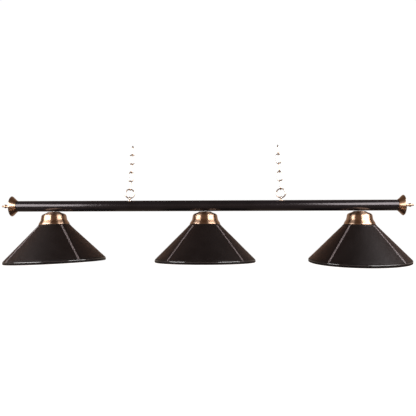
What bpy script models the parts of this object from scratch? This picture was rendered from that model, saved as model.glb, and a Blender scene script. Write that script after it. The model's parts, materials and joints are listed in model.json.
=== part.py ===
"""Pool table lamp: three leather-covered shades under one straight bar, hung on two chains.

Units are metres and +Z is up. The bar runs along X. The world origin is the bearing point of the
left chain's top link, where it rests on its hook. Sizes and heights of the lamp are measured from
the bar's centre, and the empties place that centre in the world.
"""

import math

import bmesh
import bpy
from mathutils import Euler, Vector

MM = 0.001
FIT_GAP = 0.3 * MM

# Driving sizes
OVERALL_LENGTH = 1524 * MM
LAMP_SPACING = 566 * MM
LOOP_SPACING = 561 * MM
BAR_RADIUS = 20 * MM
BAR_WALL = 1.5 * MM
SHADE_RIM_RADIUS = 185 * MM
RIM_BELOW_BAR = 208 * MM
LEFT_LAMP_LEAN = math.radians(-2.4)
RIGHT_LAMP_LEAN = math.radians(4)

# The bar's ends
CAP_RADIUS = 37.5 * MM
CAP_START = 704 * MM
CAP_FACE = 729 * MM
TUBE_HALF_LENGTH = 712 * MM
STUD_RADIUS = 2.3 * MM

# Chains: ten welded links and two rings on the bar's loops
LOOP_X = LOOP_SPACING / 2
CHAIN_LEAN = math.radians(3.4)
LINK_WIRE = 1.7 * MM
LINK_BEND = 8.3 * MM
LINK_INNER_LENGTH = 32.7 * MM
LINKS_PER_CHAIN = 5
RING_WIRE = 2.2 * MM
RING_BEND = 16.8 * MM
EYE_WIRE = 2.0 * MM
EYE_BEND = 6.0 * MM
EYE_CENTRE = BAR_RADIUS + 7 * MM
STEM_RADIUS = 4.0 * MM

# Lamp units
NIPPLE_RADIUS = 5.0 * MM
NIPPLE_BORE = 3.5 * MM
FITTER_SHEET = 1.2 * MM
SOCKET_RADIUS = 21 * MM
SHADE_TOP_RADIUS = 54.8 * MM
SHADE_TOP = -71 * MM
LINER_BEND = -197.5 * MM
LINER_EDGE = -206.2 * MM
LINER_EDGE_RADIUS = 181.2 * MM
LINER_SHEET = 0.9 * MM
LEATHER = 1.6 * MM
HEM_TOP = -195.4 * MM
SEAM_HEIGHT = 0.6 * MM
SEAM_HALF_WIDTH = math.radians(1.6)

# Wiring inside the bar
SPLICE_X = -LOOP_X + 45 * MM
SPLICE_HALF = 14 * MM
LEAD_RADIUS = 1.1 * MM
LEAD_BEND = 9 * MM

# How finely round pieces are cut
SHADE_STEPS = 32
FITTER_STEPS = 20
BAR_STEPS = 24
SOCKET_STEPS = 16
SMALL_STEPS = 14
BEND_STEPS = 6

SIDES = {"left": -1, "middle": 0, "right": 1}
LAMP_LEANS = {"left": (0, LEFT_LAMP_LEAN, 0), "middle": (0, 0, 0), "right": (RIGHT_LAMP_LEAN, 0, 0)}
SHADE_TURNS = {"left": math.radians(-2), "middle": math.radians(2.5), "right": math.radians(-2.5)}
FACES_ACROSS = math.pi / 2


def clear_scene():
    for old in list(bpy.data.objects):
        bpy.data.objects.remove(old)


def make_material(name, colour, roughness, metallic):
    material = bpy.data.materials.new(name)
    material.use_nodes = True
    shader = material.node_tree.nodes["Principled BSDF"]
    shader.inputs["Base Color"].default_value = (*colour, 1)
    shader.inputs["Roughness"].default_value = roughness
    shader.inputs["Metallic"].default_value = metallic
    material.diffuse_color = (*colour, 1)
    return material


def make_materials():
    looks = {
        "black_paint": ((0.02, 0.018, 0.02), 0.35, 0.0),
        "bronze": ((0.42, 0.27, 0.17), 0.3, 1.0),
        "chain_brass": ((0.6, 0.48, 0.34), 0.25, 1.0),
        "steel": ((0.55, 0.55, 0.56), 0.4, 1.0),
        "leather": ((0.03, 0.024, 0.024), 0.55, 0.0),
        "hem_leather": ((0.025, 0.02, 0.02), 0.5, 0.0),
        "white_enamel": ((0.85, 0.84, 0.8), 0.35, 0.0),
        "porcelain": ((0.88, 0.87, 0.83), 0.2, 0.0),
        "brass": ((0.72, 0.55, 0.28), 0.3, 1.0),
        "bulb_glass": ((0.93, 0.92, 0.88), 0.2, 0.0),
        "wire": ((0.05, 0.05, 0.05), 0.6, 0.0),
    }
    return {name: make_material(name, *look) for name, look in looks.items()}


def make_empty(name, parent=None, location=(0, 0, 0), rotation=(0, 0, 0)):
    empty = bpy.data.objects.new(name, None)
    bpy.context.collection.objects.link(empty)
    empty.parent = parent
    empty.location = location
    empty.rotation_euler = rotation
    return empty


def add_object(name, data, material=None, parent=None, location=(0, 0, 0), rotation=(0, 0, 0)):
    made = bpy.data.objects.new(name, data)
    bpy.context.collection.objects.link(made)
    made.parent = parent
    made.location = location
    made.rotation_euler = rotation
    if material:
        data.materials.append(material)
    return made


def finish_mesh(name, shape):
    bmesh.ops.recalc_face_normals(shape, faces=shape.faces[:])
    data = bpy.data.meshes.new(name)
    shape.to_mesh(data)
    shape.free()
    data.shade_smooth()
    data.set_sharp_from_angle(angle=math.radians(35))
    return data


def hide_helper(helper):
    helper.hide_render = True
    helper.display_type = "WIRE"
    return helper


def even_angles(steps):
    return [2 * math.pi * step / steps for step in range(steps)]


def bridge(shape, upper, lower, count):
    """Joins two rings of points, either of which may be a single point on the axis."""
    for here in range(count):
        there = (here + 1) % count
        corners = [
            upper[here % len(upper)],
            lower[here % len(lower)],
            lower[there % len(lower)],
            upper[there % len(upper)],
        ]
        shape.faces.new(dict.fromkeys(corners))


def turned_mesh(name, profile, steps, hollow=False):
    """A profile of (radius, height) points turned about Z.

    A solid profile starts and ends on the axis. A hollow one is a closed loop round its wall.
    """
    shape = bmesh.new()
    rings = []
    for radius, height in profile:
        angles = even_angles(steps) if radius > 0 else [0]
        rings.append([shape.verts.new((radius * math.cos(a), radius * math.sin(a), height)) for a in angles])
    pairs = list(zip(rings, rings[1:]))
    if hollow:
        pairs.append((rings[-1], rings[0]))
    for upper, lower in pairs:
        bridge(shape, upper, lower, steps)
    return finish_mesh(name, shape)


def in_mm(points):
    return [(radius * MM, height * MM) for radius, height in points]


def wire_curve(name, points, wire_radius, cyclic, resolution=1):
    """A round wire bent along a list of points."""
    curve = bpy.data.curves.new(name, "CURVE")
    curve.dimensions = "3D"
    curve.bevel_depth = wire_radius
    curve.bevel_resolution = resolution
    curve.use_fill_caps = not cyclic
    spline = curve.splines.new("POLY")
    spline.points.add(len(points) - 1)
    for point, place in zip(spline.points, points):
        point.co = (*place, 1)
    spline.use_cyclic_u = cyclic
    return curve


# Bar and its ends


def make_bar(centre, materials):
    """A steel tube with a hole for each nipple below and for each loop above."""
    inner = BAR_RADIUS - BAR_WALL
    half = TUBE_HALF_LENGTH
    wall = [(BAR_RADIUS, half), (BAR_RADIUS, -half), (inner, -half), (inner, half)]
    tube = turned_mesh("bar_tube", wall, BAR_STEPS, hollow=True)
    bar = add_object("bar_tube", tube, materials["black_paint"], centre, rotation=(0, FACES_ACROSS, 0))
    drill = bar.modifiers.new("holes", "BOOLEAN")
    drill.operation = "DIFFERENCE"
    drill.object = make_drill(centre)


def make_drill(centre):
    shape = bmesh.new()
    for side_name, side in SIDES.items():
        peg = add_peg(shape, side * LAMP_SPACING, -BAR_RADIUS, NIPPLE_RADIUS + FIT_GAP, 10 * MM)
        lean = Euler(LAMP_LEANS[side_name]).to_matrix()
        bmesh.ops.rotate(shape, verts=peg, cent=(side * LAMP_SPACING, 0, 0), matrix=lean)
    for side in (-1, 1):
        add_peg(shape, side * LOOP_X, BAR_RADIUS, STEM_RADIUS + FIT_GAP, 10 * MM)
    return hide_helper(add_object("bar_drill", finish_mesh("bar_drill", shape), parent=centre))


def add_peg(shape, x, z, radius, length):
    """A short vertical cylinder added to a mesh that is being built."""
    made = bmesh.ops.create_cone(
        shape, cap_ends=True, segments=SMALL_STEPS, radius1=radius, radius2=radius, depth=length
    )
    bmesh.ops.translate(shape, verts=made["verts"], vec=(x, 0, z))
    return made["verts"]


def end_cap_profile():
    """A spun cap, as a wall's loop: a collar on the tube, a trumpet flare, a rim and a shallow face."""
    hole = STUD_RADIUS / MM + 0.3
    face = CAP_FACE / MM
    start = CAP_START / MM
    rim = CAP_RADIUS / MM
    inner = BAR_RADIUS / MM + 0.3
    front = [(hole, face), (22, face - 0.7), (31, face - 1.8), (rim - 0.9, face - 3.5), (rim, face - 5.5)]
    flare = [(rim - 3, face - 10), (31, face - 14), (27.2, start + 7), (23.9, start + 3.3), (inner + 1.9, start)]
    inside = [(inner, start), (inner, start + 2), (22, start + 3.7), (25.4, start + 7.8), (29, start + 11.8)]
    under = [(33, face - 9), (34.8, face - 6.2), (34, face - 4.4), (21, face - 2.4), (hole, face - 1.8)]
    return in_mm(front + flare + inside + under)


def end_plug_profile():
    """A turned plug: a spigot in the tube, a shoulder on its end and a boss that backs the cap's face."""
    bore = STUD_RADIUS / MM + 0.3
    end = TUBE_HALF_LENGTH / MM
    back = CAP_FACE / MM - 2.6
    spigot = (BAR_RADIUS - BAR_WALL) / MM - 0.3
    boss = [(bore, back), (8, back), (8, end + 3.5)]
    shoulder = [(BAR_RADIUS / MM - 0.2, end + 3.5), (BAR_RADIUS / MM - 0.2, end + 0.3)]
    return in_mm(boss + shoulder + [(spigot, end + 0.3), (spigot, end - 20), (bore, end - 20)])


def finial_profile():
    """A stepped finial: washer, stem, bead, neck and tip, on a stud that screws into the plug."""
    face = CAP_FACE / MM + 0.3
    tip = OVERALL_LENGTH / MM / 2
    point = [(0, tip), (2.6, tip - 0.8), (3.6, tip - 3), (3, tip - 5.6), (2.8, tip - 8.4)]
    bead = [(5.6, tip - 10.2), (7, tip - 13), (6.6, tip - 15.6), (5, tip - 17.6)]
    stem = [(5, face + 3.4), (8, face + 1.8), (8, face)]
    stud = STUD_RADIUS / MM
    return in_mm(point + bead + stem + [(stud, face), (stud, face - 20), (0, face - 20)])


def make_bar_end(side_name, centre, materials):
    """The cap, plug and finial of one end, all turned about the bar's axis."""
    turn = (0, SIDES[side_name] * FACES_ACROSS, 0)
    pieces = [
        ("end_cap", end_cap_profile(), BAR_STEPS, True, "bronze"),
        ("end_plug", end_plug_profile(), SMALL_STEPS, True, "steel"),
        ("finial", finial_profile(), SMALL_STEPS, False, "bronze"),
    ]
    for piece, profile, steps, hollow, slot in pieces:
        name = f"{piece}_{side_name}"
        add_object(name, turned_mesh(name, profile, steps, hollow), materials[slot], centre, rotation=turn)


# Loops, rings and chains


def loop_helpers(name, x, centre):
    """The shapes joined to a loop's collar or cut from it: eye, tube, stem and wireway."""
    bpy.ops.mesh.primitive_torus_add(
        major_segments=20, minor_segments=8, major_radius=EYE_BEND, minor_radius=EYE_WIRE
    )
    eye = bpy.context.object
    eye.name = f"{name}_eye"
    eye.parent = centre
    eye.location = (x, 0, EYE_CENTRE)
    eye.rotation_euler = (0, FACES_ACROSS, 0)
    seat_radius = BAR_RADIUS + FIT_GAP
    seat = turned_mesh(f"{name}_seat", [(0, 0.02), (seat_radius, 0.02), (seat_radius, -0.02), (0, -0.02)], 48)
    seat = add_object(seat.name, seat, None, centre, (x, 0, 0), (0, FACES_ACROSS, 0))
    stem = bmesh.new()
    add_peg(stem, 0, 15 * MM, STEM_RADIUS, 12 * MM)
    stem = add_object(f"{name}_stem", finish_mesh("stem", stem), None, centre, (x, 0, 0))
    wireway = bmesh.new()
    add_peg(wireway, 0, 14 * MM, 1.7 * MM, 20 * MM)
    wireway = add_object(f"{name}_wireway", finish_mesh("wireway", wireway), None, centre, (x, 0, 0))
    return {"UNION eye": eye, "DIFFERENCE seat": seat, "UNION stem": stem, "DIFFERENCE wireway": wireway}


def make_loop(side_name, centre, materials):
    """A hollow loop: an eye on a saddle-seated collar, with a threaded stem through the bar's wall."""
    name = f"loop_{side_name}"
    x = SIDES[side_name] * LOOP_X
    collar = in_mm([(0, 23.2), (4.6, 23.2), (6.8, 21.5), (6.8, 17), (0, 17)])
    loop = add_object(name, turned_mesh(name, collar, SOCKET_STEPS), materials["chain_brass"], centre, (x, 0, 0))
    for task, helper in loop_helpers(name, x, centre).items():
        modifier = loop.modifiers.new(task, "BOOLEAN")
        modifier.operation = task.split()[0]
        modifier.object = hide_helper(helper)
    nut = in_mm([(5.2, 16.3), (7.5, 16.3), (7.5, 12.3), (5.2, 12.3)])
    nut_name = f"loop_nut_{side_name}"
    add_object(nut_name, turned_mesh(nut_name, nut, 6, hollow=True), materials["steel"], centre, (x, 0, 0))


def stadium(straight, bend, across_x, shift):
    """Points round a link's centreline. Its plane holds Z and either X or Y."""
    turns = [math.pi * step / BEND_STEPS for step in range(BEND_STEPS + 1)]
    upper = [(bend * math.cos(turn), straight / 2 + bend * math.sin(turn)) for turn in turns]
    lower = [(-along, -height) for along, height in upper]
    points = upper + lower
    if across_x:
        return [(along, 0, height + shift) for along, height in points]
    return [(0, along, height + shift) for along, height in points]


def link_sizes():
    """The straight part of a link's centreline, and the distance between its two bearing wires."""
    between_wires = LINK_INNER_LENGTH + 2 * LINK_WIRE
    return between_wires - 2 * LINK_BEND, between_wires


def ring_bottom():
    """The ring's lowest wire, measured up the chain from the top wire of the eye it hangs on."""
    return -(EYE_WIRE + RING_WIRE + FIT_GAP)


def link_bottom(number):
    """The lowest wire of link 1 to 5, measured up the chain from the top wire of the eye."""
    ring_top = ring_bottom() + 2 * RING_BEND
    first = ring_top - (RING_WIRE + LINK_WIRE + FIT_GAP)
    return first + (number - 1) * (LINK_INNER_LENGTH - FIT_GAP)


def hinge_height(number):
    """The axis on which link 1 to 4 swings from the link above it, measured as link_bottom is."""
    if number % 2 == 0:
        return link_bottom(number) + link_sizes()[1]
    return link_bottom(number + 1)


def hook_height():
    """Where the top link rests on its hook."""
    return link_bottom(LINKS_PER_CHAIN) + link_sizes()[1] - LINK_WIRE


def make_chain(side_name, eye_top, materials):
    """A ring and five links. Each piece's origin is on the axis it swings about."""
    inwards = -SIDES[side_name] * CHAIN_LEAN
    chain = make_empty(f"chain_{side_name}", None, eye_top, (0, inwards, 0))
    steps = [2 * math.pi * step / 16 for step in range(16)]
    circle = [(RING_BEND * math.sin(turn), 0, -RING_BEND + RING_BEND * math.cos(turn)) for turn in steps]
    ring_top = ring_bottom() + 2 * RING_BEND
    ring = wire_curve(f"ring_{side_name}", circle, RING_WIRE, cyclic=True)
    add_object(ring.name, ring, materials["chain_brass"], chain, (0, 0, ring_top))
    straight, between_wires = link_sizes()
    for number in range(1, LINKS_PER_CHAIN + 1):
        own_axis = hook_height() if number == LINKS_PER_CHAIN else hinge_height(number)
        middle = link_bottom(number) + between_wires / 2
        points = stadium(straight, LINK_BEND, number % 2 == 0, middle - own_axis)
        link = wire_curve(f"link_{number}_{side_name}", points, LINK_WIRE, cyclic=True)
        add_object(link.name, link, materials["chain_brass"], chain, (0, 0, own_axis))


# Lamp units


def fitter_profile():
    """A spun bell, as a wall's loop: seat under the bar, ogee shoulder, flared lip over the shade.

    The seat is low enough and small enough to clear the bar on a lamp that leans.
    """
    top = -(BAR_RADIUS / MM + 0.75)
    sheet = FITTER_SHEET / MM
    bore = NIPPLE_RADIUS / MM + 0.3
    roof = [(bore, top), (9, top), (20.5, top - 0.75), (24, -22.9), (27.5, -25.2), (37, -28.6), (43.2, -32.2)]
    body = [(45.8, -36.2), (46.6, -43.5), (48.6, -50.5), (52, -57.2)]
    lip = [(55, -62), (56.6, -67.8), (54.4, -67.8), (53.5, -62.4)]
    inside = [(50.6, -57.7), (47.3, -50.9), (45.3, -43.6), (44.3, -36.7), (42, -33.2)]
    under = [(26.4, -26.2), (20, top - 0.75 - sheet), (9, top - sheet), (bore, top - sheet)]
    return in_mm(roof + body + lip + inside + under)


def socket_body_profile():
    """A porcelain lampholder: hollow crown for the leads, shoulder for the shade, skirt round the shell."""
    bore = NIPPLE_RADIUS / MM + 0.3
    radius = SOCKET_RADIUS / MM
    crown = [(bore, -36.3), (16, -36.3), (radius, -41), (radius, -58), (24, -60), (24, -70.7)]
    skirt = [(radius, -70.7), (radius, -88), (14.5, -88), (14.5, -52), (17, -52), (17, -42), (bore, -42)]
    return in_mm(crown + skirt)


def socket_shell_profile():
    """The brass screw shell, with a flange on the porcelain's inner step and a hole for the contact."""
    outside = [(3, -50.5), (16.5, -50.5), (16.5, -51.7), (14.2, -51.7), (14.2, -84)]
    return in_mm(outside + [(13.5, -84), (13.5, -52.5), (3, -52.5)])


def bulb_base_profile():
    return in_mm([(0, -54.6), (4, -55), (5, -57.5), (12.7, -60), (12.9, -78), (0, -78)])


def bulb_glass_profile():
    """A pear-shaped envelope, as a wall's loop, open at the neck where it sits on its base."""
    outside = [(10.6, -78.3), (12.6, -78.3), (13.4, -88), (17.5, -100), (25, -115), (29.6, -131), (29.8, -142)]
    bowl = [(26.5, -154), (18, -163), (6, -167), (5.6, -165.8), (17.3, -161.8), (28.2, -142)]
    return in_mm(outside + bowl + [(28, -131), (16, -101), (12, -88)])


def shade_ring_profile():
    """The threaded ring that holds the shade up against the socket's shoulder."""
    return in_mm([(21.4, -72.3), (27, -72.3), (27, -76.3), (21.4, -76.3)])


def liner_radius(height):
    """The outer radius of the steel cone at a height above its bend."""
    slope = (LINER_EDGE_RADIUS - SHADE_TOP_RADIUS) / (SHADE_TOP - LINER_BEND)
    return SHADE_TOP_RADIUS + (SHADE_TOP - height) * slope


def sideways(thickness):
    """A thickness square to the cone's wall, as a change of radius at one height."""
    rise = SHADE_TOP - LINER_BEND
    run = LINER_EDGE_RADIUS - SHADE_TOP_RADIUS
    return thickness * math.hypot(rise, run) / rise


def liner_profile():
    """A steel cone, as a wall's loop, with a holed top plate and a short upright skirt at its rim."""
    hole = SOCKET_RADIUS + 0.5 * MM
    under = SHADE_TOP - LINER_SHEET
    sheet = sideways(LINER_SHEET)
    edge = LINER_EDGE_RADIUS
    skirt = edge - LINER_SHEET
    outside = [(hole, SHADE_TOP), (SHADE_TOP_RADIUS, SHADE_TOP), (edge, LINER_BEND), (edge, LINER_EDGE)]
    inside = [(skirt, LINER_EDGE), (skirt, LINER_BEND - 0.4 * LINER_SHEET)]
    return outside + inside + [(liner_radius(under) - sheet, under), (hole, under)]


def cover_radius(height):
    return liner_radius(height) + sideways(FIT_GAP + LEATHER)


def cover_angles():
    """Even steps, with two more beside each of the four seams, which lie on the diagonals."""
    angles = even_angles(SHADE_STEPS)
    for seam in [math.pi / 4 + quarter * math.pi / 2 for quarter in range(4)]:
        angles += [seam - SEAM_HALF_WIDTH, seam + SEAM_HALF_WIDTH]
    return sorted(angles)


def flat_factor(angle):
    """How far in the flat between two even steps lies, as a share of the radius."""
    step = 2 * math.pi / SHADE_STEPS
    from_middle = angle % step - step / 2
    return math.cos(step / 2) / math.cos(from_middle)


def on_seam(angle):
    return abs(angle % (math.pi / 2) - math.pi / 4) < 0.1 * SEAM_HALF_WIDTH


def cover_mesh(name):
    """A leather cone over the liner. Its four seams stand up as low ridges between the two edges."""
    top = SHADE_TOP - 0.2 * MM
    bottom = HEM_TOP + FIT_GAP
    ridge_top = top - 1.5 * MM
    ridge_bottom = bottom + 1.5 * MM
    backing = sideways(LEATHER)
    profile = [(cover_radius(top), top, 0), (cover_radius(ridge_top), ridge_top, SEAM_HEIGHT)]
    profile += [(cover_radius(ridge_bottom), ridge_bottom, SEAM_HEIGHT)]
    profile += [(cover_radius(ridge_bottom - MM), ridge_bottom - MM, 0), (cover_radius(bottom), bottom, 0)]
    profile += [(cover_radius(bottom) - backing, bottom, 0), (cover_radius(top) - backing, top, 0)]
    shape = bmesh.new()
    angles = cover_angles()
    rings = []
    for radius, height, lift in profile:
        reaches = [radius * flat_factor(angle) + lift * on_seam(angle) for angle in angles]
        places = [(reach * math.cos(a), reach * math.sin(a), height) for reach, a in zip(reaches, angles)]
        rings.append([shape.verts.new(place) for place in places])
    for upper, lower in zip(rings, rings[1:] + rings[:1]):
        bridge(shape, upper, lower, len(angles))
    return finish_mesh(name, shape)


def hem_profile():
    """The binding round the shade's rim, as a wall's loop: it carries on the cover's line, then drops."""
    rim = SHADE_RIM_RADIUS
    foot = -RIM_BELOW_BAR
    floor = LINER_EDGE - 0.4 * MM
    clear = 0.4 * MM
    edge = LINER_EDGE_RADIUS
    outside = [(cover_radius(HEM_TOP), HEM_TOP), (rim - 0.4 * MM, HEM_TOP - 3.7 * MM)]
    outside += [(rim, foot + 2.2 * MM), (rim - 0.8 * MM, foot + 0.5 * MM), (rim - 3 * MM, foot)]
    inside_leg = edge - LINER_SHEET - MM
    under = [(inside_leg, foot), (inside_leg, floor), (edge + clear, floor), (edge + clear, LINER_BEND)]
    return outside + under + [(liner_radius(HEM_TOP) + sideways(FIT_GAP), HEM_TOP)]


def make_lamp(side_name, centre, materials):
    """One unit: fitter, nipple and nut, lampholder, shade and bulb, all on one upright axis."""
    place = (SIDES[side_name] * LAMP_SPACING, 0, 0)
    axis = make_empty(f"lamp_axis_{side_name}", centre, place, LAMP_LEANS[side_name])
    shade = make_empty(f"shade_{side_name}", axis, rotation=(0, 0, SHADE_TURNS[side_name]))
    bore = NIPPLE_BORE / MM
    thread = NIPPLE_RADIUS / MM
    nipple = in_mm([(bore, -10.9), (thread, -10.9), (thread, -44), (bore, -44)])
    nut = in_mm([(6.3, -11.9), (8.1, -11.9), (8.1, -15.9), (6.3, -15.9)])
    pieces = [
        ("fitter", fitter_profile(), FITTER_STEPS, "bronze"),
        ("nipple", nipple, 10, "steel"),
        ("nipple_nut", nut, 6, "steel"),
        ("socket_body", socket_body_profile(), SOCKET_STEPS, "porcelain"),
        ("socket_shell", socket_shell_profile(), SMALL_STEPS, "brass"),
        ("shade_ring", shade_ring_profile(), SOCKET_STEPS, "porcelain"),
        ("shade_liner", liner_profile(), SHADE_STEPS, "white_enamel"),
        ("shade_hem", hem_profile(), SHADE_STEPS, "hem_leather"),
        ("bulb_glass", bulb_glass_profile(), SOCKET_STEPS, "bulb_glass"),
    ]
    for piece, profile, steps, slot in pieces:
        name = f"{piece}_{side_name}"
        holder = shade if piece in ("shade_liner", "shade_hem") else axis
        add_object(name, turned_mesh(name, profile, steps, hollow=True), materials[slot], holder)
    base = turned_mesh(f"bulb_base_{side_name}", bulb_base_profile(), SMALL_STEPS)
    add_object(base.name, base, materials["brass"], axis)
    cover = cover_mesh(f"shade_cover_{side_name}")
    add_object(cover.name, cover, materials["leather"], shade)


# Wiring inside the bar


def lead_points(start_x, side_name, y):
    """A run along the bar, a quarter turn over the nipple, and a drop through it into the socket."""
    lamp_x = SIDES[side_name] * LAMP_SPACING
    way = 1 if lamp_x > start_x else -1
    bend_start = lamp_x - way * LEAD_BEND
    run = [(start_x, y, 0), (bend_start - way * 25 * MM, y, 0)]
    drop = []
    for step in range(6):
        turn = math.pi / 2 * step / 5
        along = bend_start + way * LEAD_BEND * math.sin(turn)
        drop.append((along, y * (1 - step / 5), -LEAD_BEND * (1 - math.cos(turn))))
    drop.append((lamp_x, 0, -47 * MM))
    lean = Euler(LAMP_LEANS[side_name]).to_matrix()
    pivot = Vector((lamp_x, 0, 0))
    return run + [tuple(pivot + lean @ (Vector(point) - pivot)) for point in drop]


def make_wiring(centre, materials):
    """A splice beside the left loop, and one twin lead to each lampholder."""
    shape = bmesh.new()
    bmesh.ops.create_cube(shape, size=1)
    bmesh.ops.scale(shape, verts=shape.verts, vec=(2 * SPLICE_HALF, 14 * MM, 8 * MM))
    splice = finish_mesh("lead_splice", shape)
    add_object(splice.name, splice, materials["wire"], centre, (SPLICE_X, 0, 0))
    leave = SPLICE_HALF + FIT_GAP
    starts = {"left": (SPLICE_X - leave, 0), "middle": (SPLICE_X + leave, 3 * MM)}
    starts["right"] = (SPLICE_X + leave, -3 * MM)
    for side_name, (start_x, y) in starts.items():
        points = lead_points(start_x, side_name, y)
        lead = wire_curve(f"lead_{side_name}", points, LEAD_RADIUS, cyclic=False)
        add_object(lead.name, lead, materials["wire"], centre)


def build():
    clear_scene()
    materials = make_materials()
    eye_top = EYE_CENTRE + EYE_BEND
    reach = hook_height()
    eye_drop = reach * math.cos(CHAIN_LEAN)
    loop_from_hook = -reach * math.sin(CHAIN_LEAN)
    bar_x = loop_from_hook + LOOP_X
    ring_wire_height = -eye_drop + ring_bottom() * math.cos(CHAIN_LEAN)
    swing = make_empty("bar_swing", None, (bar_x, 0, ring_wire_height))
    centre = make_empty("bar_centre", swing, (0, 0, -eye_drop - eye_top - ring_wire_height))
    make_bar(centre, materials)
    for side_name in ("left", "right"):
        make_bar_end(side_name, centre, materials)
        make_loop(side_name, centre, materials)
        make_chain(side_name, (bar_x + SIDES[side_name] * LOOP_X, 0, -eye_drop), materials)
    for side_name in SIDES:
        make_lamp(side_name, centre, materials)
    make_wiring(centre, materials)


build()
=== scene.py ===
"""The looks of the pool table lamp: detailed pieces with procedural materials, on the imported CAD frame.

The world is in metres, in the CAD frame. Shapes are drawn in millimetres, in the frame of the lamp,
the bar's end or the chain that they belong to, and become metres when their mesh is made.
"""

import json
import math

import bmesh
import bpy
from mathutils import Matrix, Vector, noise


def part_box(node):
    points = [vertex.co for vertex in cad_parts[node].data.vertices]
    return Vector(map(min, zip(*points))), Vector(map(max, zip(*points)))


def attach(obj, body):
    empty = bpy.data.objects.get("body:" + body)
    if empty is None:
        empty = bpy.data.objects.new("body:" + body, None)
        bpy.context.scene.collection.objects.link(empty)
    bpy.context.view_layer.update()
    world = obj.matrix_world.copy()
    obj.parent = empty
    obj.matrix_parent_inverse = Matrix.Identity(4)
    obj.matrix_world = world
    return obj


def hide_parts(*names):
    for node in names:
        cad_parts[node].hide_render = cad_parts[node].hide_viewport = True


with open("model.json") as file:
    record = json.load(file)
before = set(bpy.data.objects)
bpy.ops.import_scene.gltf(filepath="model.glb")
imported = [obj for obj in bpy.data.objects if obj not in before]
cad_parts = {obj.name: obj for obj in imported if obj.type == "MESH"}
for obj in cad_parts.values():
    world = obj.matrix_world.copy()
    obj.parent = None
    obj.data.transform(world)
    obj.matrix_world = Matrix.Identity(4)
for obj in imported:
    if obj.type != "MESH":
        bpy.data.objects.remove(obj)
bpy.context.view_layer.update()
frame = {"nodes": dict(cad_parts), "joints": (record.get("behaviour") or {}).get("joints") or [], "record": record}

MM = 0.001
SIDES = {"left": -1, "middle": 0, "right": 1}
ENDS = ("left", "right")
QUARTER = math.pi / 2

# Sizes shared with the CAD, in millimetres from the bar's centre
BAR_WALL = 1.5
CAP_START = 704
CAP_FACE = 729
CAP_RADIUS = 37.5
CAP_BORE = 20.35
TIP = 762
STUD_RADIUS = 2.3
LINKS = 5
LINK_WIRE = 1.7
LINK_BEND = 8.3
LINK_INNER_LENGTH = 32.7
RING_WIRE = 2.2
RING_BEND = 16.8
EYE_WIRE = 2.0
EYE_BEND = 6.0
EYE_CENTRE = 27.0
STEM_RADIUS = 4.0
CORD_HOLE = 1.7
NIPPLE_RADIUS = 5.0
FIT_GAP = 0.3
SHADE_TOP = -71
SHADE_TOP_RADIUS = 54.8
LINER_BEND = -197.5
LINER_EDGE = -206.2
LINER_EDGE_RADIUS = 181.2
LINER_SHEET = 0.9
HEM_TOP = -195.4
RIM_RADIUS = 185
RIM_FOOT = -208
LEATHER = 1.6
SHADE_TURNS = {"left": math.radians(-2), "middle": math.radians(2.5), "right": math.radians(-2.5)}

# The camera: metres from the bar's centre, degrees, and millimetres
CAMERA_PLACE = (0.0867, -2.0081, -0.1073)
CAMERA_TURNS = (92.815, 0.09, 2.163)
CAMERA_LENS = 47.11
CAMERA_SENSOR = 36

# Leather work
SEAM_OFFSETS = (-9, -7.4, -6, -5, -4.4, -3.9, -3.4, -2.8, -2.2, -1.6, -1.1, -0.6, -0.3)
SEAM_COLUMNS = [*SEAM_OFFSETS, 0, *(-offset for offset in reversed(SEAM_OFFSETS))]
SEAM_LIFT = 0.95
STITCH_ROW = 1.8
STITCH_PITCH = 4.4
ROW_SPACING = 1.8
PANEL_COLUMNS = 34


# Placing


def joint_named(name):
    """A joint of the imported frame."""
    return next(joint for joint in frame["joints"] if joint["name"] == name)


def mount_place(name):
    """Where the record puts a mount, in metres."""
    return Vector(next(mount["pos_m"] for mount in frame["record"]["mounts"] if mount["name"] == name))


def turn_up_to(direction):
    """The smallest turn that takes +Z to a direction."""
    return Vector((0, 0, 1)).rotation_difference(direction).to_matrix().to_4x4()


BAR_LOW, BAR_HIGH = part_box("bar_tube")
BAR_CENTRE = (BAR_LOW + BAR_HIGH) / 2
BAR_RADIUS = (BAR_HIGH.y - BAR_LOW.y) / 2 / MM
BAR_HALF = (BAR_HIGH.x - BAR_LOW.x) / 2 / MM


def lamp_frame(side):
    """A lamp unit's frame: its origin is on the bar's axis, and +Z is its own leaning axis."""
    joint = joint_named(f"shade_{side}_turn")
    return Matrix.Translation(joint["pos_m"]) @ turn_up_to(Vector(joint["axis"]))


def end_frame(side):
    """The frame of one end of the bar: +Z runs outwards along the bar."""
    return Matrix.Translation(BAR_CENTRE) @ Matrix.Rotation(SIDES[side] * QUARTER, 4, "Y")


def loop_frame(side):
    """A loop's frame: its origin is on the bar's axis, and +Z points up."""
    low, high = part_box(f"loop_{side}")
    return Matrix.Translation(((low.x + high.x) / 2, BAR_CENTRE.y, BAR_CENTRE.z))


def chain_frame(side):
    """A chain's frame: its origin is in the eye's top wire, and +Z points up to the hook."""
    eye = loop_frame(side) @ Vector((0, 0, (EYE_CENTRE + EYE_BEND) * MM))
    return Matrix.Translation(eye) @ turn_up_to(mount_place(f"{side}_hook") - eye)


# Drawing


def finish_mesh(name, points, faces, wear_and_highlight=None, sharp=40):
    """A mesh in metres from points in millimetres, with the amount of wear at each point; on the binding it marks
    a painted highlight line.
    """
    data = bpy.data.meshes.new(name)
    data.from_pydata([(x * MM, y * MM, z * MM) for x, y, z in points], [], faces)
    shape = bmesh.new()
    shape.from_mesh(data)
    bmesh.ops.recalc_face_normals(shape, faces=shape.faces[:])
    shape.to_mesh(data)
    shape.free()
    if wear_and_highlight:
        data.attributes.new("wear_and_highlight", "FLOAT", "POINT").data.foreach_set("value", wear_and_highlight)
    data.shade_smooth()
    data.set_sharp_from_angle(angle=math.radians(sharp))
    return data


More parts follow.
